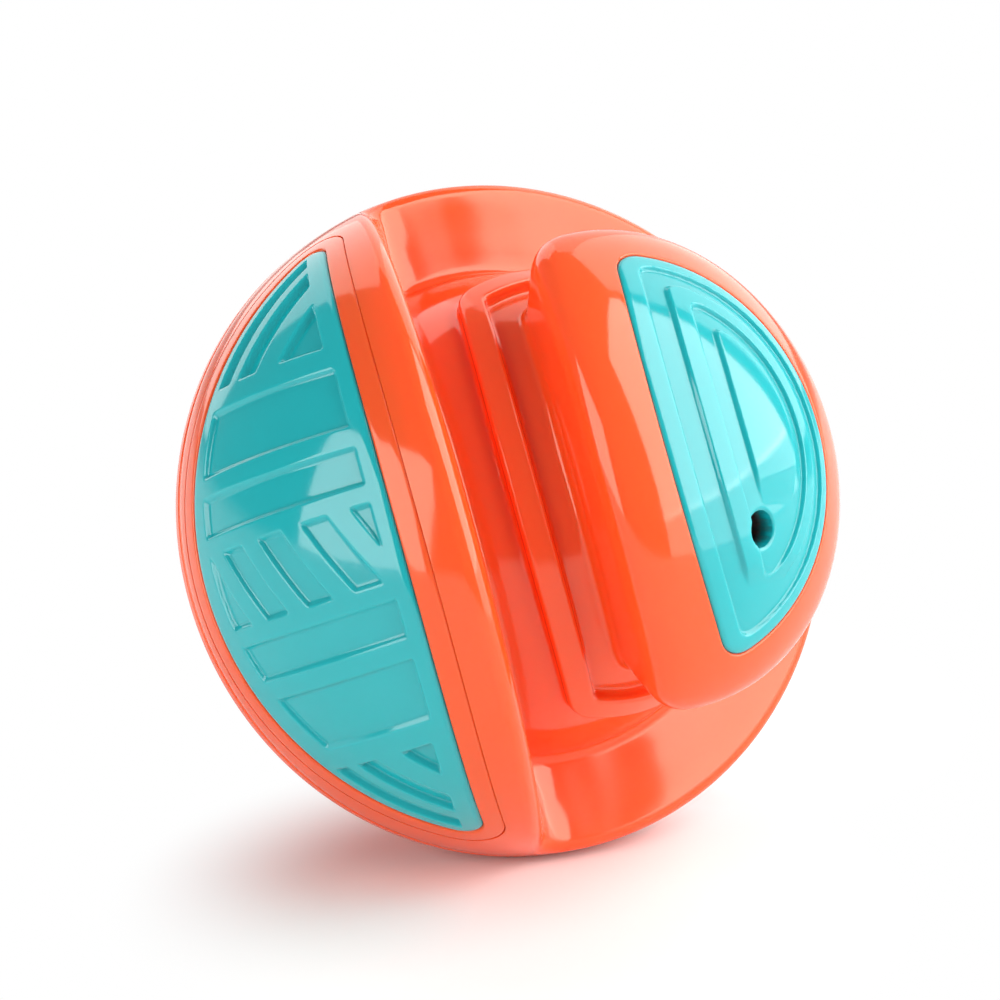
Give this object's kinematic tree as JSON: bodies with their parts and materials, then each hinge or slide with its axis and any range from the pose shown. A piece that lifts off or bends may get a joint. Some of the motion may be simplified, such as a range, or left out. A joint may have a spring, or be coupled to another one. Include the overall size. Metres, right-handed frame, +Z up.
{
  "type": "squeaky dental ball",
  "caption": "Soft rubber chew ball whose halves carry padded side lunes and free lobes in ribbed cleaning grooves, with a squeaker behind an air hole.",
  "frame": {"origin": "on the surface that the ball lies on, under the middle of its box", "axes": "+Z up as the ball lies on the rims and lobe of its back groove; -Y towards the side with the air hole's lobe and one side lune, as pictured; +X to the right"},
  "size_m": [0.077, 0.0796, 0.0735],
  "materials": {
    "orange_rubber": "glossy moulded soft rubber",
    "teal_rubber": "glossy moulded soft rubber",
    "white_plastic": "moulded plastic",
    "reed_film": "thin plastic film"
  },
  "bodies": {
    "ball": {"front_shell": "orange_rubber", "back_shell": "orange_rubber", "front_lune_tray": "orange_rubber", "back_lune_tray": "orange_rubber", "front_lune_pad": "teal_rubber", "back_lune_pad": "teal_rubber", "front_lobe_pad": "teal_rubber", "back_lobe_pad": "teal_rubber", "squeaker_barrel": "white_plastic", "squeaker_cap": "white_plastic", "squeaker_reed_plug": "white_plastic"},
    "reed": {"squeaker_reed": "reed_film"}
  },
  "joints": [
    {"name": "reed_flutter", "type": "hinge", "parent": "ball", "child": "reed", "pos_m": [0.01736, -0.01559, 0.04132], "axis": [0.6615, 0.6084, -0.4385], "range_deg": [-8, 2], "stiffness_Nm_per_rad": 0.00002}
  ]
}
